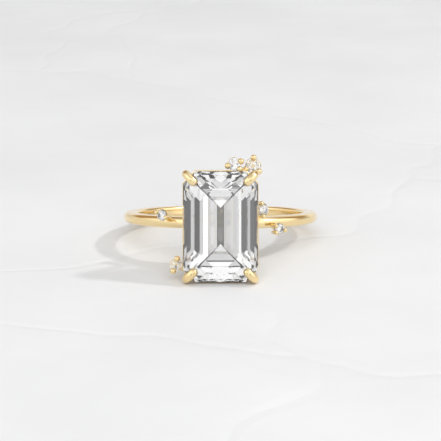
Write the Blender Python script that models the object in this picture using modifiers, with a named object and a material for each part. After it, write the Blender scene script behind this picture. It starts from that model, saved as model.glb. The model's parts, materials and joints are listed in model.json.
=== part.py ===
"""Engagement ring: a step-cut centre stone held by four claws in a basket, on a slim round-edged band,
with six small round accent stones scattered about it. Each piece is one named object in metres.

The ring is designed in its own axes: X across the finger, Y along it, Z out through the centre stone,
with the origin in the middle of the finger hole. An empty carries all of it, and at the end it lays the
ring down on its lower side, where it rests on two claws and the back of the band.

Run it with: blender --background --python part.py
"""

from collections import namedtuple
from math import atan2, cos, pi, radians, sin, sqrt, tan

import bmesh
import bpy
from mathutils import Matrix, Vector
from mathutils.geometry import interpolate_bezier

MM = 0.001

# Band: a ring with softly rounded edges
FINGER_DIAMETER = 16.9 * MM
BAND_THICKNESS = 1.45 * MM
BAND_WIDTH = 1.15 * MM
BAND_ROUNDING = 2.4  # power of the section's superellipse: 2 is an ellipse, and more is squarer
BAND_INNER_ROUNDING = 5.0  # the same for its inner half, which lies flat on the finger
BAND_SECTION_POINTS = 16
BAND_STEPS = 90

# Centre stone: a step cut. Each step is how far it goes in, and its slope from level.
STONE_WIDTH = 7.24 * MM
STONE_LENGTH = 10.77 * MM
STONE_CORNER = 1.2 * MM  # each leg of a cut corner at the girdle
TABLE_CORNER = 1.2 * MM  # the same at the table
KEEL_CORNER = 0.12 * MM  # the same where the keel's facets begin
STONE_GIRDLE = 0.22 * MM
CROWN_STEPS = ((0.34 * MM, radians(53)), (0.66 * MM, radians(32.5)), (0.62 * MM, radians(26)))
PAVILION_STEPS = ((1.03 * MM, radians(55)), (0.90 * MM, radians(46)))
KEEL_SLOPE = radians(38.8)
KEEL_OVER_BAND = 0.26 * MM

# Basket: a gallery rail under the girdle, a base rail on the band, and four claws
GALLERY_PROUD = 0.07 * MM  # how far the rail shows outside the girdle
GALLERY_WALL = 0.36 * MM
GALLERY_HEIGHT = 0.45 * MM
GALLERY_DROP = 0.30 * MM  # from the girdle down to the rail
BASE_HALF_WIDTH = 1.55 * MM
BASE_PAST_KEEL = 0.505 * MM  # from the keel's end to the base rail
BASE_CORNER_RADIUS = 0.70 * MM
BASE_WIRE_RADIUS = 0.33 * MM
CLAW_RADIUS = 0.415 * MM
CLAW_FOOT_RADIUS = 0.34 * MM
CLAW_FOOT_OUT = 0.60 * MM  # from the base rail's corner to the claw's foot
CLAW_STAND_OUT = 0.87  # from the stone's corner out to the claw's middle, over the claw's radius
CLAW_TIP_RADIUS = 0.43 * MM
CLAW_TIP_IN = 0.55 * MM  # from the stone's corner in to the middle of the tip
CLAW_TIP_RISE = 0.635 * MM  # from the girdle's upper edge up to the middle of the tip

# Accents: round brilliants, each in a cup on a stem, held by beads
CUP_PROUD = 0.05 * MM
CUP_FLOOR = 0.12 * MM
CUP_FOOT_SHARE = 0.5  # foot radius over stone radius
CUP_RIM_DROP = 0.09 * MM  # from the middle of the girdle down to the rim
PRONG_OUT = 0.06 * MM  # from the girdle out to a prong's middle
PRONG_FOOT_SHARE = 0.8  # how far down the cup a prong goes
BEAD_RISE = 0.10 * MM
HEAD_BEAD_RADIUS = 0.30 * MM
BAND_BEAD_RADIUS = 0.235 * MM
STEM_RADIUS = 0.22 * MM

# Round brilliant, as shares of its radius
TABLE_SHARE = 0.56
CROWN_SLOPE = radians(34.5)
PAVILION_SLOPE = radians(40.8)
GIRDLE_SHARE = 0.06
STAR_TIP = 0.759  # how far out the star facets reach
LOWER_HALF_TIP = 0.23  # how far in the lower halves reach

SOLDER_GAP = 0.02 * MM  # between pieces that are soldered or set against each other

# Worked out from the sizes above
BAND_INNER = FINGER_DIAMETER / 2
BAND_OUTER = BAND_INNER + BAND_THICKNESS
BAND_MIDDLE = BAND_INNER + BAND_THICKNESS / 2
HALF_WIDTH = STONE_WIDTH / 2
HALF_LENGTH = STONE_LENGTH / 2
KEEL_RUN = HALF_WIDTH - sum(inset for inset, slope in PAVILION_STEPS)
PAVILION_DEPTH = sum(inset * tan(slope) for inset, slope in PAVILION_STEPS) + KEEL_RUN * tan(KEEL_SLOPE)
GIRDLE_LOW = BAND_OUTER + KEEL_OVER_BAND + PAVILION_DEPTH
GIRDLE_HIGH = GIRDLE_LOW + STONE_GIRDLE
GALLERY_TOP = GIRDLE_LOW - GALLERY_DROP
GALLERY_MIDDLE = GALLERY_TOP - GALLERY_HEIGHT / 2
BASE_HALF_LENGTH = HALF_LENGTH - HALF_WIDTH + BASE_PAST_KEEL + BASE_WIRE_RADIUS
BASE_HEIGHT = sqrt((BAND_OUTER + BASE_WIRE_RADIUS + SOLDER_GAP) ** 2 - BASE_HALF_WIDTH**2)
DIAGONAL = sqrt(0.5)

Accent = namedtuple("Accent", "diameter centre facing prong_angles bead_radius stem_foot carrier")


# ---------------------------------------------------------------- scene, frames and materials


def clear_scene():
    for obj in list(bpy.data.objects):
        bpy.data.objects.remove(obj, do_unlink=True)


def new_collection(name):
    collection = bpy.data.collections.new(name)
    bpy.context.scene.collection.children.link(collection)
    return collection


def new_material(name, color, roughness, metallic, transmission=0.0, ior=1.5):
    material = bpy.data.materials.new(name)
    material.use_nodes = True
    shader = material.node_tree.nodes["Principled BSDF"]
    shader.inputs["Base Color"].default_value = (*color, 1.0)
    shader.inputs["Roughness"].default_value = roughness
    shader.inputs["Metallic"].default_value = metallic
    shader.inputs["Transmission Weight"].default_value = transmission
    shader.inputs["IOR"].default_value = ior
    return material


def new_frame(name, collection, parent=None, matrix=None):
    """An empty that carries pieces: the whole ring, or one accent."""
    frame = bpy.data.objects.new(name, None)
    frame.empty_display_size = 2 * MM
    collection.objects.link(frame)
    frame.parent = parent
    frame.matrix_local = matrix or Matrix.Identity(4)
    return frame


def place(name, mesh, collection, frame, material=None):
    """A mesh as an object in a collection, carried by a frame."""
    obj = bpy.data.objects.new(name, mesh)
    collection.objects.link(obj)
    obj.parent = frame
    if material:
        obj.data.materials.append(material)
    return obj


def as_cutter(obj):
    obj.hide_render = True
    obj.display_type = "WIRE"
    return obj


def cut(obj, *cutters):
    for cutter in cutters:
        modifier = obj.modifiers.new("cut_" + cutter.name, "BOOLEAN")
        modifier.operation = "DIFFERENCE"
        modifier.solver = "EXACT"
        modifier.object = cutter


# ---------------------------------------------------------------- shapes


def mesh_of(curve_object):
    """A curve's evaluated shape as one closed mesh, its caps welded on. The curve is removed."""
    graph = bpy.context.evaluated_depsgraph_get()
    mesh = bpy.data.meshes.new_from_object(curve_object.evaluated_get(graph))
    bm = bmesh.new()
    bm.from_mesh(mesh)
    bmesh.ops.remove_doubles(bm, verts=bm.verts, dist=1e-4 * MM)
    bmesh.ops.recalc_face_normals(bm, faces=bm.faces)
    bm.to_mesh(mesh)
    bm.free()
    bpy.data.objects.remove(curve_object, do_unlink=True)
    return mesh


def curve_object(name, splines, cyclic, radii=None):
    """A curve of straight-sided splines through lists of points."""
    curve = bpy.data.curves.new(name, "CURVE")
    for points in splines:
        spline = curve.splines.new("POLY")
        spline.points.add(len(points) - 1)
        for i, point in enumerate(points):
            spline.points[i].co = (*point, 1.0)
            spline.points[i].radius = radii[i] if radii else 1.0
        spline.use_cyclic_u = cyclic
    obj = bpy.data.objects.new(name, curve)
    bpy.context.scene.collection.objects.link(obj)
    return obj


def wire_mesh(name, points, radii, cyclic=False, resolution=3):
    """A round wire through the points, as thick at each as its radius."""
    shares = [radius / radii[0] for radius in radii]
    obj = curve_object(name, [points], cyclic, shares)
    obj.data.dimensions = "3D"
    obj.data.bevel_depth = radii[0]
    obj.data.bevel_resolution = resolution
    obj.data.use_fill_caps = not cyclic
    return mesh_of(obj)


def plate_mesh(name, outlines, thickness):
    """A flat plate between z = -thickness/2 and thickness/2. Each outline after the first is a hole."""
    obj = curve_object(name, outlines, cyclic=True)
    obj.data.dimensions = "2D"
    obj.data.fill_mode = "BOTH"
    obj.data.extrude = thickness / 2
    return mesh_of(obj)


def turned_object(name, profile, steps, collection, frame, material=None, closed=False):
    """A profile of (radius, height) points turned round Z. Its outer side runs downwards."""
    count = len(profile)
    edges = [(i, i + 1) for i in range(count - 1)] + ([(count - 1, 0)] if closed else [])
    mesh = bpy.data.meshes.new(name)
    mesh.from_pydata([(radius, 0.0, height) for radius, height in profile], edges, [])
    obj = place(name, mesh, collection, frame, material)
    screw = obj.modifiers.new("turn", "SCREW")
    screw.axis = "Z"
    screw.steps = steps
    screw.render_steps = steps
    screw.use_smooth_shade = True
    screw.use_merge_vertices = True
    screw.merge_threshold = 1e-4 * MM
    return obj


def cut_rectangle(half_width, half_length, corner, height=0.0):
    """The eight corners of a rectangle with cut corners, anticlockwise from the right side's lower end."""
    across, along = half_width - corner, half_length - corner
    quarter = [(half_width, along), (across, half_length)]
    points = []
    for sign_x, sign_y in ((1, 1), (-1, 1), (-1, -1), (1, -1)):
        pair = [(sign_x * x, sign_y * y) for x, y in quarter]
        points += pair if sign_x * sign_y > 0 else pair[::-1]
    return [Vector((x, y, height)) for x, y in points]


def grown_corner(corner, grow):
    """The corner leg of a cut rectangle whose every side has moved out by grow."""
    return corner + grow * (2 - sqrt(2))


# ---------------------------------------------------------------- stones


def step_cut_sections(grow):
    """The centre stone's outline at each level from the table down, and last its keel."""

    def outlines(steps, height, last_corner, side):
        inset, reach = 0.0, sum(step for step, slope in steps)
        for step, slope in ((0.0, 0.0), *steps):
            inset, height = inset + step, height + side * step * tan(slope)
            corner = STONE_CORNER + (last_corner - STONE_CORNER) * inset / reach
            width, length = HALF_WIDTH - inset + grow, HALF_LENGTH - inset + grow
            yield cut_rectangle(width, length, grown_corner(corner, grow), height)

    crown = list(outlines(CROWN_STEPS, GIRDLE_HIGH, TABLE_CORNER, 1))
    crown[-1] = [point + Vector((0, 0, grow)) for point in crown[-1]]
    pavilion = list(outlines(PAVILION_STEPS, GIRDLE_LOW, KEEL_CORNER, -1))
    keel_end = HALF_LENGTH - HALF_WIDTH
    keel_height = GIRDLE_LOW - PAVILION_DEPTH - grow
    keel = [Vector((0, keel_end if point.y > 0 else -keel_end, keel_height)) for point in pavilion[-1]]
    return crown[::-1] + pavilion + [keel]


def step_cut_mesh(name, grow=0.0):
    """The centre stone: flat facets between the outlines. With grow it's a cutter that much larger."""
    bm = bmesh.new()
    rows = [[bm.verts.new(point) for point in section] for section in step_cut_sections(grow)]
    bm.faces.new(rows[0])
    for upper, lower in zip(rows, rows[1:]):
        for i in range(len(upper)):
            j = (i + 1) % len(upper)
            bm.faces.new((upper[i], lower[i], lower[j], upper[j]))
    bmesh.ops.remove_doubles(bm, verts=bm.verts, dist=1e-4 * MM)
    bmesh.ops.recalc_face_normals(bm, faces=bm.faces)
    mesh = bpy.data.meshes.new(name)
    bm.to_mesh(mesh)
    bm.free()
    return mesh


def brilliant_facets():
    """Each row of facets: count, first azimuth, slope from level (up or down), and a radius and height
    on the facet along its azimuth. All on a stone of radius 1 whose girdle is centred on height 0."""
    half = GIRDLE_SHARE / 2
    chord = cos(pi / 16)
    mid_cos = cos(pi / 8)
    table = half + (1 - TABLE_SHARE) * tan(CROWN_SLOPE)
    star_tip = half + (1 - STAR_TIP * mid_cos) * tan(CROWN_SLOPE)
    star_edge = TABLE_SHARE * mid_cos
    star_slope = atan2(table - star_tip, STAR_TIP - star_edge)
    upper_slope = atan2(star_tip - half, chord * (1 - STAR_TIP))
    lower_tip = (1 - LOWER_HALF_TIP * mid_cos) * tan(PAVILION_SLOPE)
    lower_slope = atan2(lower_tip, chord * (1 - LOWER_HALF_TIP))
    return (
        (1, 0.0, 0.0, 1, 0.0, table),
        (8, 0.0, CROWN_SLOPE, 1, 1.0, half),
        (8, pi / 8, star_slope, 1, star_edge, table),
        (16, pi / 16, upper_slope, 1, chord, half),
        (8, 0.0, PAVILION_SLOPE, -1, 1.0, -half),
        (16, pi / 16, lower_slope, -1, chord, -half),
    )


def brilliant_mesh(name, radius):
    """A round brilliant about the origin, facing +Z: a cylinder with each facet sawn off it."""
    bm = bmesh.new()
    bmesh.ops.create_cone(bm, cap_ends=True, segments=32, radius1=1.0, radius2=1.0, depth=3.0)
    for count, first, slope, side, out, height in brilliant_facets():
        for i in range(count):
            azimuth = first + 2 * pi * i / count
            level = Vector((cos(azimuth), sin(azimuth), 0))
            normal = level * sin(slope) + Vector((0, 0, side * cos(slope)))
            point = level * out + Vector((0, 0, height))
            everything = bm.verts[:] + bm.edges[:] + bm.faces[:]
            sawn = bmesh.ops.bisect_plane(
                bm, geom=everything, dist=1e-6, plane_co=point, plane_no=normal, clear_outer=True
            )
            rim = [piece for piece in sawn["geom_cut"] if isinstance(piece, bmesh.types.BMEdge)]
            bmesh.ops.edgeloop_fill(bm, edges=rim)
    bmesh.ops.recalc_face_normals(bm, faces=bm.faces)
    bmesh.ops.scale(bm, vec=(radius, radius, radius), verts=bm.verts)
    mesh = bpy.data.meshes.new(name)
    bm.to_mesh(mesh)
    bm.free()
    return mesh


# ---------------------------------------------------------------- band and basket


def band_profile(grow=0.0):
    """The band's section, half of one superellipse against half of another, as (radius, height along
    the finger), outer side downwards."""
    profile = []
    for i in range(BAND_SECTION_POINTS):
        angle = pi / 2 - 2 * pi * i / BAND_SECTION_POINTS
        out, up = cos(angle), sin(angle)
        power = BAND_ROUNDING if out > 0 else BAND_INNER_ROUNDING
        stretch = (abs(out) ** power + abs(up) ** power) ** (-1 / power)
        radius = BAND_MIDDLE + out * stretch * (BAND_THICKNESS / 2 + grow)
        profile.append((radius, up * stretch * (BAND_WIDTH / 2 + grow)))
    return profile


def make_band(name, collection, ring, material=None, grow=0.0):
    band = turned_object(name, band_profile(grow), BAND_STEPS, collection, ring, material, closed=True)
    band.rotation_euler = (-pi / 2, 0, 0)
    return band


def gallery_mesh(name, grow=0.0):
    """The gallery rail: a flat frame that follows the girdle just below it."""
    outlines = []
    for out in (GALLERY_PROUD + grow, GALLERY_PROUD - GALLERY_WALL - grow):
        corner = grown_corner(STONE_CORNER, out)
        outlines.append(cut_rectangle(HALF_WIDTH + out, HALF_LENGTH + out, corner))
    return plate_mesh(name, outlines, GALLERY_HEIGHT + 2 * grow)


def base_mesh(name, grow=0.0):
    """The base rail: a wire bent to a rounded rectangle."""
    steps = 6
    points = []
    for turn in range(4):
        sign_x, sign_y = ((1, 1), (-1, 1), (-1, -1), (1, -1))[turn]
        middle = Vector(
            (
                sign_x * (BASE_HALF_WIDTH - BASE_CORNER_RADIUS),
                sign_y * (BASE_HALF_LENGTH - BASE_CORNER_RADIUS),
                BASE_HEIGHT,
            )
        )
        for i in range(steps + 1):
            angle = pi / 2 * (turn + i / steps)
            points.append(middle + BASE_CORNER_RADIUS * Vector((cos(angle), sin(angle), 0)))
    return wire_mesh(name, points, [BASE_WIRE_RADIUS + grow] * len(points), cyclic=True)


def claw_route(sign_x, sign_y):
    """The claw's centre line and the radius at each point: a leg, then the bend over the stone's corner."""
    outward = Vector((sign_x, sign_y, 0)) * DIAGONAL
    up = Vector((0, 0, 1))
    girdle_corner = Vector(
        (sign_x * (HALF_WIDTH - STONE_CORNER / 2), sign_y * (HALF_LENGTH - STONE_CORNER / 2), GIRDLE_HIGH)
    )
    inset = BASE_CORNER_RADIUS * (1 - DIAGONAL)
    foot = Vector((sign_x * (BASE_HALF_WIDTH - inset), sign_y * (BASE_HALF_LENGTH - inset), BASE_HEIGHT))
    foot += outward * CLAW_FOOT_OUT - up * BASE_WIRE_RADIUS
    shoulder = girdle_corner + outward * CLAW_STAND_OUT * CLAW_RADIUS
    shoulder -= up * (STONE_GIRDLE + 0.85 * CLAW_RADIUS)
    tip = girdle_corner - outward * CLAW_TIP_IN + up * CLAW_TIP_RISE
    lift = girdle_corner + outward * 1.45 * CLAW_RADIUS + up * 0.33 * CLAW_RADIUS
    reach = girdle_corner + outward * 0.3 * CLAW_RADIUS + up * (CLAW_TIP_RISE + 0.17 * CLAW_RADIUS)
    bend = interpolate_bezier(shoulder, lift, reach, tip, 9)
    leg_share = 0.55
    points = [foot, foot.lerp(shoulder, leg_share)] + bend
    leg_radius = CLAW_FOOT_RADIUS + leg_share * (CLAW_RADIUS - CLAW_FOOT_RADIUS)
    radii = [CLAW_FOOT_RADIUS, leg_radius]
    radii += [CLAW_RADIUS + (CLAW_TIP_RADIUS - CLAW_RADIUS) * i / (len(bend) - 1) for i in range(len(bend))]
    ahead = (bend[-1] - bend[-2]).normalized()
    for degrees_round in (30, 55, 78):
        angle = radians(degrees_round)
        points.append(tip + ahead * CLAW_TIP_RADIUS * sin(angle))
        radii.append(CLAW_TIP_RADIUS * cos(angle))
    return points, radii


def claw_mesh(name, signs, grow=0.0):
    points, radii = claw_route(*signs)
    return wire_mesh(name, points, [radius + grow for radius in radii])


# ---------------------------------------------------------------- accents


def round_finger(angle_degrees, radius, along):
    """A point at an angle from the centre stone, a distance from the finger's axis, and along the finger."""
    angle = radians(angle_degrees)
    return Vector((radius * sin(angle), along, radius * cos(angle)))


def accents(claw_paths):
    """The six accents, in the order top pair, lower left, band left, band right upper and lower."""
    top_claw, low_claw = claw_paths["claw_upper_right"], claw_paths["claw_lower_left"]
    edge_x, edge_y = HALF_WIDTH, HALF_LENGTH
    claw_back = DIAGONAL * (1 + CLAW_STAND_OUT) * CLAW_RADIUS  # how far a claw stands behind the corner
    out = Vector((0, 0, 1))

    def on_band(diameter, angle, along, facing_angle, prong_angles, foot_angle, foot_along):
        radius = diameter / 2
        height = BAND_OUTER + 0.2 * MM + cup_depth(radius)
        centre = round_finger(angle, height, along)
        facing = round_finger(facing_angle, 1.0, 0.0)
        foot = round_finger(foot_angle, BAND_MIDDLE, foot_along)
        return Accent(diameter, centre, facing, prong_angles, BAND_BEAD_RADIUS, foot, "band")

    def on_head(diameter, centre, prong_angles, foot=None, carrier="gallery_rail"):
        return Accent(diameter, Vector(centre), out, prong_angles, HEAD_BEAD_RADIUS, foot, carrier)

    return (
        on_head(
            1.25 * MM,
            (1.36 * MM, edge_y + 0.66 * MM, GALLERY_TOP + 0.135 * MM),
            (193, 24, 315),
        ),
        on_head(
            1.50 * MM,
            (edge_x - 0.46 * MM, edge_y + claw_back - 0.109 * MM, GALLERY_TOP - 0.84 * MM),
            (86, 205, 318),
            top_claw(GALLERY_TOP - 1.45 * MM),
            "claw_upper_right",
        ),
        on_head(
            1.15 * MM,
            (-edge_x - 0.70 * MM, -edge_y + 1.60 * MM, GALLERY_TOP - 0.135 * MM),
            (79, 243),
            low_claw(GALLERY_TOP - 0.85 * MM),
            "claw_lower_left",
        ),
        on_band(1.10 * MM, -32.8, 0.77 * MM, -33.0, (155, -22), -31.0, 0.20 * MM),
        on_band(1.20 * MM, 22.8, 1.38 * MM, 22.6, (106, 270), 22.6, 0.15 * MM),
        on_band(1.10 * MM, 33.0, -0.58 * MM, 33.0, (150, 216, -16), 31.5, -0.20 * MM),
    )


def cup_depth(radius):
    """From the middle of the girdle down to the underside of the cup."""
    return radius * (tan(PAVILION_SLOPE) + GIRDLE_SHARE / 2) + SOLDER_GAP + CUP_FLOOR


def cup_profile(radius):
    """The cup's outside and its cone-shaped inside, as (radius, height), outer side downwards."""
    floor = -cup_depth(radius) + CUP_FLOOR
    inside = (-CUP_RIM_DROP - floor) / tan(PAVILION_SLOPE)
    rim, foot = radius + CUP_PROUD, CUP_FOOT_SHARE * radius
    return [(0, floor), (inside, -CUP_RIM_DROP), (rim, -CUP_RIM_DROP), (foot, -cup_depth(radius)),
            (0, -cup_depth(radius))]


def cup_cutter_profile(radius):
    """The cup filled in and larger all over by the solder gap."""
    rim, foot = radius + CUP_PROUD + SOLDER_GAP, CUP_FOOT_SHARE * radius + SOLDER_GAP
    top, bottom = SOLDER_GAP - CUP_RIM_DROP, -cup_depth(radius) - SOLDER_GAP
    return [(0, top), (rim, top), (foot, bottom), (0, bottom)]


def prong_mesh(name, radius, bead_radius, angle_degrees):
    """A post up the cup's side that ends in a bead over the stone's edge."""
    angle = radians(angle_degrees)
    side = Vector((cos(angle), sin(angle), 0)) * (radius + PRONG_OUT)
    post_radius = 0.68 * bead_radius
    heights = [-PRONG_FOOT_SHARE * cup_depth(radius)]
    radii = [post_radius]
    for latitude in (-47, -20, 10, 38, 62, 80):
        heights.append(BEAD_RISE + bead_radius * sin(radians(latitude)))
        radii.append(bead_radius * cos(radians(latitude)))
    points = [side + Vector((0, 0, height)) for height in heights]
    return wire_mesh(name, points, radii)


def facing_matrix(centre, facing):
    """Puts an accent's +Z along facing, with its +Y as near the finger's axis as that leaves it."""
    z = facing.normalized()
    x = Vector((0, 1, 0)).cross(z).normalized()
    y = z.cross(x)
    return Matrix.Translation(centre) @ Matrix((x, y, z)).transposed().to_4x4()


def make_accent(number, accent, ring, pieces, tools, gold, diamond, carriers):
    prefix = f"accent_{number}_"
    radius = accent.diameter / 2
    frame = new_frame(prefix + "frame", pieces, ring, facing_matrix(accent.centre, accent.facing))
    place(prefix + "stone", brilliant_mesh(prefix + "stone", radius), pieces, frame, diamond)
    stone_tool_mesh = brilliant_mesh(prefix + "stone_tool", radius + SOLDER_GAP)
    stone_tool = as_cutter(place(prefix + "stone_tool", stone_tool_mesh, tools, frame))
    cup = turned_object(prefix + "cup", cup_profile(radius), 24, pieces, frame, gold)
    profile = cup_cutter_profile(radius)
    cup_tool = as_cutter(turned_object(prefix + "cup_tool", profile, 24, tools, frame))
    cut(cup, carriers["gallery_rail"])
    for i, angle in enumerate(accent.prong_angles, 1):
        name = f"{prefix}prong_{i}"
        mesh = prong_mesh(name, radius, accent.bead_radius, angle)
        prong = place(name, mesh, pieces, frame, gold)
        cut(prong, stone_tool, cup_tool, carriers["gallery_rail"], carriers["centre_stone"])
    if not accent.stem_foot:  # the cup itself is soldered to its carrier
        return
    foot = frame.matrix_local.inverted() @ accent.stem_foot
    top = Vector((0, 0, -cup_depth(radius) + CUP_FLOOR))
    stem_mesh = wire_mesh(prefix + "stem", [top, foot], [STEM_RADIUS, STEM_RADIUS])
    cut(place(prefix + "stem", stem_mesh, pieces, frame, gold), cup_tool, carriers[accent.carrier])


# ---------------------------------------------------------------- the ring


def leg_point(signs):
    """A function that gives the point of a claw's leg at a height."""
    points, radii = claw_route(*signs)
    foot, shoulder = points[0], points[2]

    def at(height):
        return foot.lerp(shoulder, (height - foot.z) / (shoulder.z - foot.z))

    return at


def make_ring():
    clear_scene()
    pieces, tools = new_collection("engagement_ring"), new_collection("cutters")
    gold = new_material("yellow_gold", (0.86, 0.62, 0.28), 0.14, 1.0)
    diamond = new_material("diamond", (1.0, 1.0, 1.0), 0.0, 0.0, transmission=1.0, ior=2.42)
    ring = new_frame("ring_frame", pieces)

    make_band("band", pieces, ring, gold)
    place("centre_stone", step_cut_mesh("centre_stone"), pieces, ring, diamond)
    gallery = place("gallery_rail", gallery_mesh("gallery_rail"), pieces, ring, gold)
    gallery.location.z = GALLERY_MIDDLE
    place("base_rail", base_mesh("base_rail"), pieces, ring, gold)

    stone_tool = as_cutter(place("stone_tool", step_cut_mesh("stone_tool", SOLDER_GAP), tools, ring))
    base_tool = as_cutter(place("base_tool", base_mesh("base_tool", SOLDER_GAP), tools, ring))
    gallery_tool = as_cutter(place("gallery_tool", gallery_mesh("gallery_tool", SOLDER_GAP), tools, ring))
    gallery_tool.location.z = GALLERY_MIDDLE
    band_tool = as_cutter(make_band("band_tool", tools, ring, grow=SOLDER_GAP))
    cut(gallery, stone_tool)
    carriers = {"band": band_tool, "gallery_rail": gallery_tool, "centre_stone": stone_tool}

    corners = {
        "claw_upper_left": (-1, 1),
        "claw_upper_right": (1, 1),
        "claw_lower_left": (-1, -1),
        "claw_lower_right": (1, -1),
    }
    for name, signs in corners.items():
        cut(place(name, claw_mesh(name, signs), pieces, ring, gold), stone_tool, gallery_tool, base_tool)
        tool_mesh = claw_mesh(name + "_tool", signs, SOLDER_GAP)
        carriers[name] = as_cutter(place(name + "_tool", tool_mesh, tools, ring))

    legs = {name: leg_point(signs) for name, signs in corners.items()}
    for number, accent in enumerate(accents(legs), 1):
        make_accent(number, accent, ring, pieces, tools, gold, diamond, carriers)
    lay_down(ring, pieces)


def world_points(collection):
    graph = bpy.context.evaluated_depsgraph_get()
    points = []
    for obj in collection.objects:
        if obj.type == "MESH":
            seen = obj.evaluated_get(graph)
            points += [seen.matrix_world @ vertex.co for vertex in seen.data.vertices]
    return points


def resting_tilt(points):
    """The angle between the ring's plane and the table when the ring lies on its head and its back."""
    tilt = 0.0
    for attempt in range(6):
        heights = [(point.y * cos(tilt) + point.z * sin(tilt), point) for point in points]
        head = min((pair for pair in heights if pair[1].z > 0), key=lambda pair: pair[0])[1]
        back = min((pair for pair in heights if pair[1].z < 0), key=lambda pair: pair[0])[1]
        tilt = atan2(back.y - head.y, head.z - back.z)
    return tilt


def lay_down(ring, pieces):
    """Turns the ring on to its lower side and puts the origin under the middle of its box."""
    bpy.context.view_layer.update()
    tilt = resting_tilt(world_points(pieces))
    turn = Matrix.Rotation(pi / 2 - tilt, 4, "X")
    points = [turn @ point for point in world_points(pieces)]
    low = Vector([min(point[i] for point in points) for i in range(3)])
    high = Vector([max(point[i] for point in points) for i in range(3)])
    middle = (low + high) / 2
    ring.matrix_local = Matrix.Translation((-middle.x, -middle.y, -low.z)) @ turn
    bpy.context.view_layer.update()


make_ring()
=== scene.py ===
"""Engagement ring, as it is seen: a step-cut centre stone in a clawed basket on a slim gold band, with
six small round stones scattered about it. The ring lies on a pale plaster table.

Every length is in metres. The pieces are made in the ring's own axes: X across the finger, Y along it,
Z out through the centre stone, with the origin in the middle of the finger hole.
"""

import json
from math import atan2, cos, pi, radians, sin, sqrt, tan

import bmesh
import bpy
from bpy.props import FloatProperty, FloatVectorProperty, PointerProperty
from mathutils import Matrix, Vector
from mathutils.geometry import interpolate_bezier


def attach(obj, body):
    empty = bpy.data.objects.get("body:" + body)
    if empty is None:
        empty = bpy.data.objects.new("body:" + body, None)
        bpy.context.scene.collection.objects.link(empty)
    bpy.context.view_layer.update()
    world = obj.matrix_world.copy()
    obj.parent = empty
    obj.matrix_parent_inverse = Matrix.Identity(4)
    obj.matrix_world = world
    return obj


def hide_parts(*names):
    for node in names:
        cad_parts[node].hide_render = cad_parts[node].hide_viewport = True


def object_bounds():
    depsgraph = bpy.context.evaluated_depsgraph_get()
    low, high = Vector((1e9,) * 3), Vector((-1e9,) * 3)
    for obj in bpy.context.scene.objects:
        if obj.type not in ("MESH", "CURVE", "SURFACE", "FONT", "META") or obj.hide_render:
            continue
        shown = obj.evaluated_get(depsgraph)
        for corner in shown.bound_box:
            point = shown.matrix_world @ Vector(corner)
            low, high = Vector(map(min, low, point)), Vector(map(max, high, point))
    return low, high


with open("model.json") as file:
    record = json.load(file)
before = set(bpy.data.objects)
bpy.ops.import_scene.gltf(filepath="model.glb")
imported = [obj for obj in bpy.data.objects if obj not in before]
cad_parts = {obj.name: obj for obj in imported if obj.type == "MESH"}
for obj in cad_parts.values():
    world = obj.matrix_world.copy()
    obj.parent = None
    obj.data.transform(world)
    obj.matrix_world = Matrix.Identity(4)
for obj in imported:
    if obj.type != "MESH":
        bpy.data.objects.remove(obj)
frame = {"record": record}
CAD_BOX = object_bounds()

bl_info = {
    "name": "Engagement Ring",
    "version": (1, 0, 0),
    "blender": (4, 5, 0),
    "location": "View3D > Sidebar > Ring",
    "description": "Builds an engagement ring with a step-cut stone and six scattered accents",
    "category": "Add Mesh",
}

MM = 0.001
DIAGONAL = sqrt(0.5)
BODY = "root"
GOLD_NAME, STONE_NAME, GIRDLE_ATTRIBUTE = "polished_yellow_gold", "polished_diamond", "bruted_girdle"
CORNERS = {"upper_left": (-1, 1), "upper_right": (1, 1), "lower_left": (-1, -1), "lower_right": (1, -1)}
MOUNTS = {mount["name"]: mount for mount in frame["record"]["mounts"]}
RING_CENTRE = Vector(MOUNTS["finger_hole"]["pos_m"])
RING_AXES = (Vector((1, 0, 0)), Vector(MOUNTS["finger_hole"]["axis"]), Vector(MOUNTS["stone_table"]["axis"]))
RING = Matrix.Translation(RING_CENTRE) @ Matrix(RING_AXES).transposed().to_4x4()

SEAT_GAP = 0.01 * MM  # between a stone and the metal cut to fit it
POINT_GAP = 0.02 * MM  # under the point of a small stone
LIP = 0.018 * MM  # rounding of a cup's rim
CUP_OVER_BAND = 0.2 * MM  # from the band up to a cup
MERGE = 1e-4 * MM  # points nearer than this become one
BAND_BEAD, HEAD_BEAD = 0.235 * MM, 0.30 * MM
PRONG_FOOT = 0.8  # how far down its cup a prong begins
ROUND_CROWN, ROUND_PAVILION = radians(34.5), radians(40.8)
ROUND_GIRDLE = 0.06  # girdle thickness over radius
# The bend of a claw over the girdle, over its radius: down to the shoulder, then out and up to each handle.
SHOULDER_DROP = 0.85
LIFT_OUT, LIFT_UP, REACH_OUT, REACH_UP = 1.45, 0.33, 0.3, 0.17

CAMERA_DISTANCE, CAMERA_RAISED, CAMERA_ANGLE = 0.25, radians(4.0), radians(10.34)
CAMERA_DROP = 0.405 * MM
TABLE_HALF = 3.0
EVEN_LEVEL, BACKDROP_LEVEL = 0.67, 0.9
BLEND = 3  # degrees either side of a belt's edge

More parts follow.
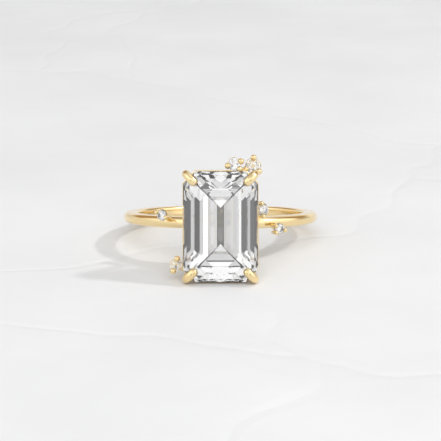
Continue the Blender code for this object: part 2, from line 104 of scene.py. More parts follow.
# The studio round the ring, in belts of rising elevation. Each gives the elevation where it begins and
# its levels by azimuth, both in degrees; a level of 1 is the brightest soft box.
STUDIO_STRENGTH = 1.5
BROWN_CARD = (0.29, 0.195, 0.105)
STUDIO_BELTS = (
    (
        -90,
        (
            (-170, 0.62), (-150, 0.45), (-125, 0.60), (-70, 0.65), (-52, 0.65), (-44, 0.85), (-33, 0.95),
            (-28, 0.02), (-21, 0.02), (-18, 0.34), (-12, 0.34), (-8, 0.48), (-3, 0.50), (0, 0.80),
            (9, 0.80), (12, 0.46), (14, 0.44), (17, 0.02), (26, 0.02), (31, 0.30), (36, 0.35),
            (40, 0.80), (59, 0.80), (100, 0.70), (113, 0.35), (130, 0.35), (145, 0.62), (170, 0.62),
        ),
    ),
    (
        14,
        (
            (-178, 0.35), (-168, BROWN_CARD), (-130, BROWN_CARD), (-112, 0.62), (-86, 0.80), (-78, 1.0),
            (-48, 1.0), (-40, 0.85), (-12, 0.80), (50, 0.80), (64, 1.0), (104, 1.0), (114, 0.50),
            (122, BROWN_CARD), (148, BROWN_CARD), (158, 0.50), (178, 0.45),
        ),
    ),
    (
        50,
        (
            (-170, 0.45), (-135, 0.30), (-110, 0.45), (-70, 0.60), (-45, 0.48), (45, 0.48), (70, 0.70),
            (130, 0.80), (165, 0.60),
        ),
    ),
)


# ---------------------------------------------------------------- sizes and colours


def length(label, millimetres, about):
    return FloatProperty(name=label, description=about, default=millimetres * MM, unit="LENGTH", precision=5)


def angle(label, in_degrees, about):
    return FloatProperty(name=label, description=about, default=radians(in_degrees), subtype="ANGLE")


def share(label, value, about):
    return FloatProperty(name=label, description=about, default=value, subtype="FACTOR", min=0.0, max=1.0)


def colour(label, value, about):
    return FloatVectorProperty(name=label, description=about, default=value, subtype="COLOR", min=0, max=1)


class RingBandSizes(bpy.types.PropertyGroup):
    """The band."""

    hole: length("Finger hole", 16.9, "Diameter of the hole for the finger")
    thickness: length("Thickness", 1.45, "From the inside of the band to its outside")
    width: length("Width", 1.15, "Along the finger")
    rounding: FloatProperty(name="Squareness", description="Power of the outer half's rounding", default=2.4)
    inner_rounding: FloatProperty(name="Inner squareness", description="Inner half's power", default=5.0)


class RingStoneSizes(bpy.types.PropertyGroup):
    """The step-cut centre stone."""

    width: length("Width", 7.24, "Across the girdle, over the finger")
    length: length("Length", 10.77, "Across the girdle, along the finger")
    corner: length("Cut corner", 1.2, "Each leg of a cut corner at the girdle")
    table_corner: length("Table corner", 1.2, "Each leg of a cut corner at the table")
    keel_corner: length("Keel corner", 0.12, "Each leg of a cut corner where the keel's facets begin")
    girdle: length("Girdle", 0.22, "Thickness of the girdle")
    crown_1: angle("First crown step", 53, "Slope of the step next to the girdle")
    crown_2: angle("Second crown step", 32.5, "Slope of the middle step")
    crown_3: angle("Third crown step", 26, "Slope of the step next to the table")
    crown_run_1: length("First crown run", 0.34, "How far in the first step goes")
    crown_run_2: length("Second crown run", 0.66, "How far in the second step goes")
    crown_run_3: length("Third crown run", 0.62, "How far in the third step goes")
    pavilion_1: angle("First pavilion step", 55, "Slope of the step under the girdle")
    pavilion_2: angle("Second pavilion step", 46, "Slope of the middle step below")
    pavilion_3: angle("Keel slope", 38.8, "Slope of the facets that meet at the keel")
    pavilion_run_1: length("First pavilion run", 1.03, "How far in the first lower step goes")
    pavilion_run_2: length("Second pavilion run", 0.90, "How far in the second lower step goes")
    over_band: length("Over the band", 0.26, "From the band up to the keel")


class RingBasketSizes(bpy.types.PropertyGroup):
    """The basket: gallery rail, base rail and claws."""

    gallery_proud: length("Rail proud", 0.07, "How far the gallery rail shows outside the girdle")
    gallery_wall: length("Rail wall", 0.36, "Wall of the gallery rail")
    gallery_height: length("Rail height", 0.45, "Height of the gallery rail")
    gallery_drop: length("Rail drop", 0.30, "From the girdle down to the gallery rail")
    base_half_width: length("Base half width", 1.55, "Half the base rail's width, at the middle of its wire")
    base_past_keel: length("Base past keel", 0.505, "From the keel's end to the base rail")
    base_corner: length("Base corner", 0.70, "Bend radius of the base rail's corners")
    base_wire: length("Base wire", 0.33, "Radius of the base rail's wire")
    claw: length("Claw", 0.415, "Radius of a claw at the girdle")
    claw_stand_out: share("Claw stand-out", 0.87, "From the corner to the claw's middle, over its radius")
    claw_foot: length("Claw foot", 0.34, "Radius of a claw at its foot")
    claw_tip: length("Claw tip", 0.43, "Radius of a claw's tip")
    claw_tip_in: length("Tip inset", 0.55, "From the stone's corner in to the middle of the tip")
    claw_tip_rise: length("Tip rise", 0.635, "From the girdle up to the middle of the tip")
    claw_foot_out: length("Foot out", 0.60, "From the base rail's corner out to the claw's foot")


class RingAccentSizes(bpy.types.PropertyGroup):
    """The cups, prongs and stems that hold the small round stones."""

    cup_proud: length("Cup proud", 0.05, "How far a cup's rim shows outside its stone")
    cup_floor: length("Cup floor", 0.12, "Thickness under the stone's point")
    cup_rim_drop: length("Rim drop", 0.09, "From the middle of the girdle down to the rim")
    cup_foot: share("Cup foot", 0.5, "Foot radius over stone radius")
    prong_out: length("Prong out", 0.06, "From the girdle out to a prong's middle")
    prong_post: share("Prong post", 0.68, "Post radius over bead radius")
    bead_rise: length("Bead rise", 0.10, "From the girdle up to the middle of the bead")
    stem: length("Stem", 0.22, "Radius of a stem")
    table: share("Table", 0.56, "Table over girdle of a round stone")


class RingFinish(bpy.types.PropertyGroup):
    """Colours and finishes."""

    gold: colour("Gold", (0.93, 0.72, 0.38), "Polished yellow gold")
    gold_worn: colour("Gold, rubbed", (0.95, 0.77, 0.45), "Gold where handling has rubbed it paler")
    stone: colour("Diamond", (1.0, 1.0, 1.0), "Colourless diamond")
    plaster: colour("Plaster", (0.88, 0.88, 0.885), "The table's plaster")


# ---------------------------------------------------------------- making meshes


def new_collection(name):
    collection = bpy.data.collections.get(name)
    if not collection:
        collection = bpy.data.collections.new(name)
        bpy.context.scene.collection.children.link(collection)
    return collection


def add_object(name, mesh, matrix=RING, collection="engagement_ring"):
    obj = bpy.data.objects.new(name, mesh)
    new_collection(collection).objects.link(obj)
    obj.matrix_world = matrix
    return obj


def finish_piece(name, mesh, node, material, matrix=RING):
    """A mesh as a piece that stands for a node of the frame."""
    obj = add_object(name, mesh, matrix)
    obj.data.materials.clear()
    obj.data.materials.append(material)
    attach(obj, BODY)
    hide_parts(node)
    return obj


def mesh_from(bm, name, smooth_under=None):
    bmesh.ops.recalc_face_normals(bm, faces=bm.faces)
    mesh = bpy.data.meshes.new(name)
    bm.to_mesh(mesh)
    bm.free()
    if smooth_under:
        mesh.shade_smooth()
        mesh.set_sharp_from_angle(angle=radians(smooth_under))
    return mesh


def tube_mesh(name, points, radii, closed=False, sides=28):
    """A round rod through the points. Its sections turn with the path and never twist."""
    count = len(points)
    bm = bmesh.new()
    rows = []
    across = None
    for i, (point, radius) in enumerate(zip(points, radii)):
        before = points[i - 1] if closed or i else point
        after = points[(i + 1) % count] if closed or i < count - 1 else point
        along = (after - before).normalized()
        if across is None:
            across = along.orthogonal()
        across = (across - along * across.dot(along)).normalized()
        other = along.cross(across)
        ring = [across * cos(2 * pi * k / sides) + other * sin(2 * pi * k / sides) for k in range(sides)]
        rows.append([bm.verts.new(point + spoke * radius) for spoke in ring])
    pairs = list(zip(rows, rows[1:]))
    if closed:  # the last row joins the first at the turn that brings them nearest
        last, first = rows[-1], rows[0]
        turn = min(range(sides), key=lambda t: (last[0].co - first[t].co).length)
        pairs.append((last, first[turn:] + first[:turn]))
    for upper, lower in pairs:
        for k in range(sides):
            j = (k + 1) % sides
            bm.faces.new((upper[k], upper[j], lower[j], lower[k]))
    if not closed:
        bm.faces.new(rows[0])
        bm.faces.new(rows[-1])
    return mesh_from(bm, name, 50)


def turned_mesh(name, profile, steps, closed=False):
    """A profile of (radius, height) points turned round Z."""
    bm = bmesh.new()
    points = [bm.verts.new((radius, 0.0, height)) for radius, height in profile]
    loop = points + points[:1] if closed else points
    edges = [bm.edges.new(pair) for pair in zip(loop, loop[1:])]
    bmesh.ops.spin(bm, geom=points + edges, cent=(0, 0, 0), axis=(0, 0, 1), angle=2 * pi, steps=steps)
    bmesh.ops.remove_doubles(bm, verts=bm.verts, dist=MERGE)
    return mesh_from(bm, name, 40)


def bead_sections(bead, rise, floor, post):
    """Heights and radii of a post that ends in a ball."""
    heights, radii = [floor], [post * bead]
    start = -sqrt(1 - post * post)
    for i in range(11):
        latitude = -pi / 2 + (i + 1) * pi / 12
        if sin(latitude) > start:
            heights.append(rise + bead * sin(latitude))
            radii.append(bead * cos(latitude))
    return heights, radii


def cut_by(obj, *cutters):
    """Cuts the object by the others, keeps its normals smooth, and removes nothing else."""
    for cutter in cutters:
        modifier = obj.modifiers.new("cut", "BOOLEAN")
        modifier.operation = "DIFFERENCE"
        modifier.solver = "EXACT"
        modifier.object = cutter
    graph = bpy.context.evaluated_depsgraph_get()
    graph.update()
    mesh = bpy.data.meshes.new_from_object(obj.evaluated_get(graph))
    obj.modifiers.clear()
    obj.data = mesh
    mesh.shade_smooth()
    mesh.set_sharp_from_angle(angle=radians(40))


def remove_object(obj):
    bpy.data.objects.remove(obj, do_unlink=True)


# ---------------------------------------------------------------- stones


def cut_rectangle(half_width, half_length, corner, height=0.0):
    """The eight corners of a rectangle with cut corners, anticlockwise from the right."""
    across, along = half_width - corner, half_length - corner
    quarter = [(half_width, along), (across, half_length)]
    points = []
    for sign_x, sign_y in ((1, 1), (-1, 1), (-1, -1), (1, -1)):
        pair = [(sign_x * x, sign_y * y) for x, y in quarter]
        points += pair if sign_x * sign_y > 0 else pair[::-1]
    return [Vector((x, y, height)) for x, y in points]


def grown_corner(corner, grow):
    return corner + grow * (2 - sqrt(2))


def pavilion_of(stone):
    """The steps below the girdle as (run, slope), the last of them down to the keel."""
    runs = [stone.pavilion_run_1, stone.pavilion_run_2]
    runs.append(stone.width / 2 - sum(runs))
    return list(zip(runs, (stone.pavilion_1, stone.pavilion_2, stone.pavilion_3)))


def crown_of(stone):
    runs = (stone.crown_run_1, stone.crown_run_2, stone.crown_run_3)
    return list(zip(runs, (stone.crown_1, stone.crown_2, stone.crown_3)))


def girdle_low(scene):
    band, stone = scene.ring_band, scene.ring_stone
    depth = sum(run * tan(slope) for run, slope in pavilion_of(stone))
    return band.hole / 2 + band.thickness + stone.over_band + depth


def step_cut_mesh(name, scene, grow=0.0):
    """The centre stone: flat facets between outlines, and its girdle marked as matt."""
    stone = scene.ring_stone
    half_width, half_length = stone.width / 2, stone.length / 2
    low = girdle_low(scene)

    def outlines(steps, height, last_corner, side):
        inset, reach = 0.0, sum(run for run, slope in steps)
        for run, slope in ((0.0, 0.0), *steps):
            inset, height = inset + run, height + side * run * tan(slope)
            corner = stone.corner + (last_corner - stone.corner) * inset / reach
            width, across = half_width - inset + grow, half_length - inset + grow
            yield cut_rectangle(width, across, grown_corner(corner, grow), height)

    crown = list(outlines(crown_of(stone), low + stone.girdle, stone.table_corner, 1))
    crown[-1] = [point + Vector((0, 0, grow)) for point in crown[-1]]
    pavilion = list(outlines(pavilion_of(stone)[:-1], low, stone.keel_corner, -1))
    run, slope = pavilion_of(stone)[-1]
    end, bottom = half_length - half_width, pavilion[-1][0].z - run * tan(slope) - grow
    keel = [Vector((0, end if point.y > 0 else -end, bottom)) for point in pavilion[-1]]
    rows_of_points = crown[::-1] + pavilion + [keel]

    bm = bmesh.new()
    matt = bm.faces.layers.float.new(GIRDLE_ATTRIBUTE)
    rows = [[bm.verts.new(point) for point in section] for section in rows_of_points]
    bm.faces.new(rows[0])
    for level, (upper, lower) in enumerate(zip(rows, rows[1:])):
        for i in range(len(upper)):
            j = (i + 1) % len(upper)
            face = bm.faces.new((upper[i], lower[i], lower[j], upper[j]))
            face[matt] = 1.0 if level == len(crown) - 1 else 0.0
    bmesh.ops.remove_doubles(bm, verts=bm.verts, dist=MERGE)
    return mesh_from(bm, name)


def brilliant_facets(table_share):
    """Rows of facets: count, first azimuth, slope, side, and a radius and height on the facet."""
    crown_slope, pavilion_slope = ROUND_CROWN, ROUND_PAVILION
    star_reach, lower_reach = 0.759, 0.23
    half, chord, mid_cos = ROUND_GIRDLE / 2, cos(pi / 16), cos(pi / 8)
    table = half + (1 - table_share) * tan(crown_slope)
    star_tip = half + (1 - star_reach * mid_cos) * tan(crown_slope)
    star_edge = table_share * mid_cos
    star_slope = atan2(table - star_tip, star_reach - star_edge)
    upper_slope = atan2(star_tip - half, chord * (1 - star_reach))
    lower_tip = (1 - lower_reach * mid_cos) * tan(pavilion_slope)
    lower_slope = atan2(lower_tip, chord * (1 - lower_reach))
    return (
        (1, 0.0, 0.0, 1, 0.0, table),
        (8, 0.0, crown_slope, 1, 1.0, half),
        (8, pi / 8, star_slope, 1, star_edge, table),
        (16, pi / 16, upper_slope, 1, chord, half),
        (8, 0.0, pavilion_slope, -1, 1.0, -half),
        (16, pi / 16, lower_slope, -1, chord, -half),
    )


def brilliant_mesh(name, radius, table_share):
    """A round brilliant about the origin, facing +Z: a cylinder with each facet sawn off it."""
    bm = bmesh.new()
    bmesh.ops.create_cone(bm, cap_ends=True, segments=64, radius1=1.0, radius2=1.0, depth=3.0)
    for count, first, slope, side, out, height in brilliant_facets(table_share):
        for i in range(count):
            azimuth = first + 2 * pi * i / count
            level = Vector((cos(azimuth), sin(azimuth), 0))
            normal = level * sin(slope) + Vector((0, 0, side * cos(slope)))
            point = level * out + Vector((0, 0, height))
            everything = bm.verts[:] + bm.edges[:] + bm.faces[:]
            sawn = bmesh.ops.bisect_plane(
                bm, geom=everything, dist=1e-6, plane_co=point, plane_no=normal, clear_outer=True
            )
            rim = [piece for piece in sawn["geom_cut"] if isinstance(piece, bmesh.types.BMEdge)]
            bmesh.ops.edgeloop_fill(bm, edges=rim)
    bmesh.ops.recalc_face_normals(bm, faces=bm.faces)
    matt = bm.faces.layers.float.new(GIRDLE_ATTRIBUTE)
    for face in bm.faces:
        face[matt] = 1.0 if abs(face.normal.z) < 0.02 else 0.0
    bmesh.ops.scale(bm, vec=(radius, radius, radius), verts=bm.verts)
    return mesh_from(bm, name)


# ---------------------------------------------------------------- band and basket


def band_mesh(name, band, section_points=64, steps=288):
    """The band's section, flat within and rounded without, turned round the finger's axis."""
    middle = band.hole / 2 + band.thickness / 2
    profile = []
    for i in range(section_points):
        turn = pi / 2 - 2 * pi * i / section_points
        out, up = cos(turn), sin(turn)
        power = band.rounding if out > 0 else band.inner_rounding
        stretch = (abs(out) ** power + abs(up) ** power) ** (-1 / power)
        profile.append((middle + out * stretch * band.thickness / 2, up * stretch * band.width / 2))
    mesh = turned_mesh(name, profile, steps, closed=True)
    mesh.transform(Matrix.Rotation(-pi / 2, 4, "X"))
    mesh.shade_smooth()
    return mesh


def gallery_mesh(name, scene, grow=0.0, rounding=0.05 * MM):
    """The gallery rail: a frame that follows the girdle just below it, its outer edges rounded."""
    stone, basket = scene.ring_stone, scene.ring_basket
    top = girdle_low(scene) - basket.gallery_drop + grow
    bottom = top - basket.gallery_height - 2 * grow
    bm = bmesh.new()
    loops = []
    for out in (basket.gallery_proud + grow, basket.gallery_proud - basket.gallery_wall - grow):
        corner = grown_corner(stone.corner, out)
        flat = cut_rectangle(stone.width / 2 + out, stone.length / 2 + out, corner)
        for height in (top, bottom):
            loops.append([bm.verts.new((point.x, point.y, height)) for point in flat])
    outer_top, outer_bottom, inner_top, inner_bottom = loops
    for a, b in (
        (outer_top, outer_bottom),
        (outer_bottom, inner_bottom),
        (inner_bottom, inner_top),
        (inner_top, outer_top),
    ):
        for i in range(8):
            j = (i + 1) % 8
            bm.faces.new((a[i], b[i], b[j], a[j]))
    if not grow:
        bmesh.ops.bevel(bm, geom=bm.edges[:], offset=rounding, segments=3, affect="EDGES", profile=0.5)
    return mesh_from(bm, name, 50)


def base_height(scene):
    band, basket = scene.ring_band, scene.ring_basket
    reach = band.hole / 2 + band.thickness + basket.base_wire
    return sqrt(reach**2 - basket.base_half_width**2)


def base_half_length(scene):
    stone, basket = scene.ring_stone, scene.ring_basket
    return (stone.length - stone.width) / 2 + basket.base_past_keel + basket.base_wire


def base_mesh(name, scene):
    """The base rail: a wire bent to a rounded rectangle."""
    basket = scene.ring_basket
    steps = 12
    points = []
    for turn, (sign_x, sign_y) in enumerate(((1, 1), (-1, 1), (-1, -1), (1, -1))):
        middle_x = sign_x * (basket.base_half_width - basket.base_corner)
        middle_y = sign_y * (base_half_length(scene) - basket.base_corner)
        middle = Vector((middle_x, middle_y, base_height(scene)))
        for i in range(steps + 1):
            bend = pi / 2 * (turn + i / steps)
            points.append(middle + basket.base_corner * Vector((cos(bend), sin(bend), 0)))
    return tube_mesh(name, points, [basket.base_wire] * len(points), closed=True)


def claw_route(scene, sign_x, sign_y):
    """The claw's centre line and the radius at each point: a leg, then the bend over the stone's corner."""
    stone, basket = scene.ring_stone, scene.ring_basket
    outward = Vector((sign_x, sign_y, 0)) * DIAGONAL
    up = Vector((0, 0, 1))
    claw, tip_radius = basket.claw, basket.claw_tip
    corner_x = sign_x * (stone.width - stone.corner) / 2
    corner_y = sign_y * (stone.length - stone.corner) / 2
    girdle_corner = Vector((corner_x, corner_y, girdle_low(scene) + stone.girdle))
    inset = basket.base_corner * (1 - DIAGONAL)
    foot_x = sign_x * (basket.base_half_width - inset)
    foot_y = sign_y * (base_half_length(scene) - inset)
    foot = Vector((foot_x, foot_y, base_height(scene)))
    foot += outward * basket.claw_foot_out - up * basket.base_wire
    shoulder = girdle_corner + outward * basket.claw_stand_out * claw
    shoulder -= up * (stone.girdle + SHOULDER_DROP * claw)
    tip = girdle_corner - outward * basket.claw_tip_in + up * basket.claw_tip_rise
    lift = girdle_corner + outward * LIFT_OUT * claw + up * LIFT_UP * claw
    reach = girdle_corner + outward * REACH_OUT * claw
    reach += up * (basket.claw_tip_rise + REACH_UP * claw)
    bend = interpolate_bezier(shoulder, lift, reach, tip, 24)
    leg = [foot.lerp(shoulder, i / 6) for i in range(6)]
    radii = [basket.claw_foot + (claw - basket.claw_foot) * i / 6 for i in range(6)]
    radii += [claw + (tip_radius - claw) * i / (len(bend) - 1) for i in range(len(bend))]
    points = leg + bend
    ahead = (bend[-1] - bend[-2]).normalized()
    for turn in (12, 24, 36, 48, 60, 72, 82):
        points.append(tip + ahead * tip_radius * sin(radians(turn)))
        radii.append(tip_radius * cos(radians(turn)))
    return points, radii


# ---------------------------------------------------------------- accents


def facing_matrix(centre, facing):
    """Puts an accent's +Z along facing, with its +Y as near the finger's axis as that leaves it."""
    z = facing.normalized()
    x = Vector((0, 1, 0)).cross(z).normalized()
    return Matrix.Translation(centre) @ Matrix((x, z.cross(x), z)).transposed().to_4x4()


def cup_depth(accent, radius):
    """From the middle of the girdle down to the underside of the cup."""
    return radius * (tan(ROUND_PAVILION) + ROUND_GIRDLE / 2) + POINT_GAP + accent.cup_floor


def round_finger(degrees_round, radius, along):
    turn = radians(degrees_round)
    return Vector((radius * sin(turn), along, radius * cos(turn)))


def accent_list(scene):
    """Diameter, centre, facing, prong angles, bead radius and stem foot of each accent."""
    band, stone, basket = scene.ring_band, scene.ring_stone, scene.ring_basket
    top = girdle_low(scene) - basket.gallery_drop
    edge_x, edge_y = stone.width / 2, stone.length / 2
    outside, middle = band.hole / 2 + band.thickness, band.hole / 2 + band.thickness / 2
    claw_back = DIAGONAL * (1 + basket.claw_stand_out) * basket.claw

    def on_band(diameter, degrees_round, along, facing, prongs, foot, foot_along):
        height = outside + CUP_OVER_BAND + cup_depth(scene.ring_accent, diameter / 2)
        centre = round_finger(degrees_round, height, along)
        return diameter, centre, round_finger(facing, 1.0, 0.0), prongs, BAND_BEAD, round_finger(
            foot, middle, foot_along
        )

    def on_head(diameter, x, y, z, prongs, leg=None, drop=0.0):
        foot = None
        if leg:
            points, _ = claw_route(scene, *CORNERS[leg])
            foot = points[0].lerp(points[6], (top - drop - points[0].z) / (points[6].z - points[0].z))
        return diameter, Vector((x, y, z)), Vector((0, 0, 1)), prongs, HEAD_BEAD, foot

    return (
        on_head(1.25 * MM, 1.36 * MM, edge_y + 0.66 * MM, top + 0.135 * MM, (193, 24, 315)),
        on_head(
            1.50 * MM, edge_x - 0.46 * MM, edge_y + claw_back - 0.109 * MM, top - 0.84 * MM,
            (86, 205, 318), "upper_right", 1.45 * MM,
        ),
        on_head(
            1.15 * MM, -edge_x - 0.70 * MM, -edge_y + 1.60 * MM, top - 0.135 * MM,
            (79, 243), "lower_left", 0.85 * MM,
        ),
        on_band(1.10 * MM, -32.8, 0.77 * MM, -33.0, (155, -22), -31.0, 0.20 * MM),
        on_band(1.20 * MM, 22.8, 1.38 * MM, 22.6, (106, 270), 22.6, 0.15 * MM),
        on_band(1.10 * MM, 33.0, -0.58 * MM, 33.0, (150, 216, -16), 31.5, -0.20 * MM),
    )


# ---------------------------------------------------------------- finishes


def wire_nodes(material_or_world):
    material_or_world.use_nodes = True
    tree = material_or_world.node_tree
    tree.nodes.clear()

    def node(kind, **values):
        made = tree.nodes.new("ShaderNode" + kind)
        for key, value in values.items():
            if key.startswith("in_"):
                socket = made.inputs[key[3:].replace("_", " ")]
                socket.default_value = value
            else:
                setattr(made, key, value)
        return made

    def link(source, target):
        tree.links.new(source, target)

    return node, link


def ramp_points(ramp, stops):
    elements = ramp.color_ramp.elements
    while len(elements) > 1:
        elements.remove(elements[-1])
    for i, (position, value) in enumerate(stops):
        element = elements[0] if i == 0 else elements.new(position)
        element.position = position
        shade = value if isinstance(value, tuple) else (value, value, value)
        element.color = (*shade, 1.0)


def gold_material(finish):
    """Polished yellow gold: faint polishing haze, paler where it is rubbed, and the finest waviness."""
    found = bpy.data.materials.get(GOLD_NAME)
    if found:
        return found
    material = bpy.data.materials.new(GOLD_NAME)
    node, link = wire_nodes(material)
    out = node("OutputMaterial")
    shader = node("BsdfPrincipled", in_Metallic=1.0)
    place = node("TexCoord")
    haze = node("TexNoise", in_Scale=900.0, in_Detail=4.0)
    mottle = node("TexNoise", in_Scale=260.0, in_Detail=2.0)
    waves = node("TexNoise", in_Scale=1500.0, in_Detail=2.0)
    roughness = node("MapRange")
    roughness.inputs["To Min"].default_value = 0.07
    roughness.inputs["To Max"].default_value = 0.17
    colours = node("ValToRGB")
    ramp_points(colours, ((0.3, tuple(finish.gold)), (0.75, tuple(finish.gold_worn))))
    bump = node("Bump", in_Strength=0.06, in_Distance=0.00002)
    for texture in (haze, mottle, waves):
        link(place.outputs["Object"], texture.inputs["Vector"])
    link(haze.outputs["Fac"], roughness.inputs["Value"])
    link(roughness.outputs["Result"], shader.inputs["Roughness"])
    link(mottle.outputs["Fac"], colours.inputs["Fac"])
    link(colours.outputs["Color"], shader.inputs["Base Color"])
    link(waves.outputs["Fac"], bump.inputs["Height"])
    link(bump.outputs["Normal"], shader.inputs["Normal"])
    link(shader.outputs["BSDF"], out.inputs["Surface"])
    return material


def stone_material(finish):
    """Colourless diamond: clear, polished facets, and a girdle left matt from bruting."""
    found = bpy.data.materials.get(STONE_NAME)
    if found:
        return found
    material = bpy.data.materials.new(STONE_NAME)
    node, link = wire_nodes(material)
    out = node("OutputMaterial")
    shader = node("BsdfPrincipled", in_IOR=2.417)
    shader.inputs["Transmission Weight"].default_value = 1.0
    place = node("TexCoord")
    girdle = node("Attribute", attribute_name=GIRDLE_ATTRIBUTE)
    frost = node("TexNoise", in_Scale=9000.0, in_Detail=2.0)
    matt = node("Math", operation="MULTIPLY")
    depth = node("Math", operation="MULTIPLY")
    depth.inputs[1].default_value = 0.55
    veil = node("TexNoise", in_Scale=500.0, in_Detail=2.0)
    tint = node("ValToRGB")
    pale = tuple(0.985 * channel for channel in finish.stone)
    ramp_points(tint, ((0.3, pale), (0.7, tuple(finish.stone))))
    link(place.outputs["Object"], frost.inputs["Vector"])
    link(place.outputs["Object"], veil.inputs["Vector"])
    link(girdle.outputs["Fac"], matt.inputs[0])
    link(frost.outputs["Fac"], matt.inputs[1])
    link(matt.outputs["Value"], depth.inputs[0])
    link(depth.outputs["Value"], shader.inputs["Roughness"])
    link(veil.outputs["Fac"], tint.inputs["Fac"])
    link(tint.outputs["Color"], shader.inputs["Base Color"])
    link(shader.outputs["BSDF"], out.inputs["Surface"])
    return material


def plaster_material(finish):
    """Trowelled plaster: broad soft mottling, a shallow uneven surface and a few wandering seams."""
    material = bpy.data.materials.new("pale_plaster")
    node, link = wire_nodes(material)
    out = node("OutputMaterial")
    shader = node("BsdfPrincipled", in_Roughness=0.9)
    shader.inputs["Specular IOR Level"].default_value = 0.2
    place = node("TexCoord")
    broad = node("TexNoise", in_Scale=45.0, in_Detail=5.0)
    fine = node("TexNoise", in_Scale=420.0, in_Detail=6.0)
    colours = node("ValToRGB")
    shade = tuple(0.95 * channel for channel in finish.plaster)
    ramp_points(colours, ((0.35, shade), (0.65, tuple(finish.plaster))))
    seams = node("TexVoronoi", feature="DISTANCE_TO_EDGE", in_Scale=14.0)
    drift = node("TexNoise", in_Scale=9.0, in_Detail=4.0)
    astray = node("VectorMath", operation="MULTIPLY_ADD")
    astray.inputs[1].default_value = (0.12, 0.12, 0.12)
    trowelled = node("ValToRGB")
    ramp_points(trowelled, ((0.0, 0.0), (0.012, 1.0)))
    bump = node("Bump", in_Strength=0.6, in_Distance=0.0004)
    add, ridge = node("Math", operation="MULTIPLY_ADD"), node("Math", operation="MULTIPLY_ADD")
    add.inputs[1].default_value = 0.22
    ridge.inputs[1].default_value = 0.25
    link(place.outputs["Object"], broad.inputs["Vector"])
    link(place.outputs["Object"], fine.inputs["Vector"])
    link(broad.outputs["Fac"], colours.inputs["Fac"])
    link(fine.outputs["Fac"], add.inputs[0])
    link(broad.outputs["Fac"], add.inputs[2])
    link(place.outputs["Object"], drift.inputs["Vector"])
    link(drift.outputs["Color"], astray.inputs[0])
    link(place.outputs["Object"], astray.inputs[2])
    link(astray.outputs["Vector"], seams.inputs["Vector"])
    link(seams.outputs["Distance"], trowelled.inputs["Fac"])
    link(trowelled.outputs["Color"], ridge.inputs[0])
    link(add.outputs["Value"], ridge.inputs[2])
    link(ridge.outputs["Value"], bump.inputs["Height"])
    link(bump.outputs["Normal"], shader.inputs["Normal"])
    link(colours.outputs["Color"], shader.inputs["Base Color"])
    link(shader.outputs["BSDF"], out.inputs["Surface"])
    return material


def studio_world():
    """A pale room: an even level for the table, and soft boxes and dark cards for metal and stone to show.

    Azimuth 0 is to the front, 90 to the right. Each belt of the room has its own round of lights.
    """
    world = bpy.data.worlds.new("studio")
    bpy.context.scene.world = world
    node, link = wire_nodes(world)
    out = node("OutputWorld")
    place = node("TexCoord")
    split = node("SeparateXYZ")
    forward = node("Math", operation="MULTIPLY")
    forward.inputs[1].default_value = -1.0
    turn = node("Math", operation="ARCTAN2")
    climb = node("Math", operation="ARCSINE")
    around, upward = node("MapRange"), node("MapRange")
    for dial, limit in ((around, pi), (upward, pi / 2)):
        dial.inputs["From Min"].default_value = -limit
        dial.inputs["From Max"].default_value = limit
    link(place.outputs["Generated"], split.inputs["Vector"])
    link(split.outputs["Y"], forward.inputs[0])
    link(split.outputs["X"], turn.inputs[0])
    link(forward.outputs["Value"], turn.inputs[1])
    link(split.outputs["Z"], climb.inputs[0])
    link(turn.outputs["Value"], around.inputs["Value"])
    link(climb.outputs["Value"], upward.inputs["Value"])

    def ramp(source, stops, whole_turn, low):
        made = node("ValToRGB")
        ramp_points(made, [((degrees_in - low) / whole_turn, level) for degrees_in, level in stops])
        link(source.outputs["Result"], made.inputs["Fac"])
        return made

    shown = None
    for begins, stops in STUDIO_BELTS:
        belt = ramp(around, stops, 360, -180)
        if shown is None:
            shown = belt.outputs["Color"]
            continue
        above = ramp(upward, ((begins - BLEND, 0.0), (begins + BLEND, 1.0)), 180, -90)
        blend = node("MixRGB")
        link(above.outputs["Color"], blend.inputs["Fac"])
        link(shown, blend.inputs["Color1"])
        link(belt.outputs["Color"], blend.inputs["Color2"])
        shown = blend.outputs["Color"]

    strong = node("Background", in_Strength=STUDIO_STRENGTH)
    even = node("Background", in_Strength=EVEN_LEVEL)
    seen = node("Background", in_Strength=BACKDROP_LEVEL)
    light = node("LightPath")
    mirror = node("Math", operation="MAXIMUM")
    first, second = node("MixShader"), node("MixShader")
    link(shown, strong.inputs["Color"])
    link(light.outputs["Is Glossy Ray"], mirror.inputs[0])
    link(light.outputs["Is Transmission Ray"], mirror.inputs[1])
    link(mirror.outputs["Value"], first.inputs["Fac"])
    link(even.outputs["Background"], first.inputs[1])
    link(strong.outputs["Background"], first.inputs[2])
    link(light.outputs["Is Camera Ray"], second.inputs["Fac"])
    link(first.outputs["Shader"], second.inputs[1])
    link(seen.outputs["Background"], second.inputs[2])
    link(second.outputs["Shader"], out.inputs["Surface"])
    return world


def add_lamp(name, size, energy, offset):
    """A round soft lamp at an offset from the ring, turned towards it."""
    light = bpy.data.lights.new(name, "AREA")
    light.shape, light.size, light.energy = "DISK", size, energy
    lamp = bpy.data.objects.new(name, light)
    new_collection("stage").objects.link(lamp)
    lamp.location = RING_CENTRE + offset
    lamp.rotation_euler = (-offset).to_track_quat("-Z", "Y").to_euler()
    return lamp


# ---------------------------------------------------------------- operators


class RING_OT_band(bpy.types.Operator):
    """Make the slim gold band"""

    bl_idname = "ring.band"
    bl_label = "Band"

    def execute(self, context):
        gold = gold_material(context.scene.ring_finish)
        finish_piece("polished_band", band_mesh("polished_band", context.scene.ring_band), "band", gold)
        return {"FINISHED"}


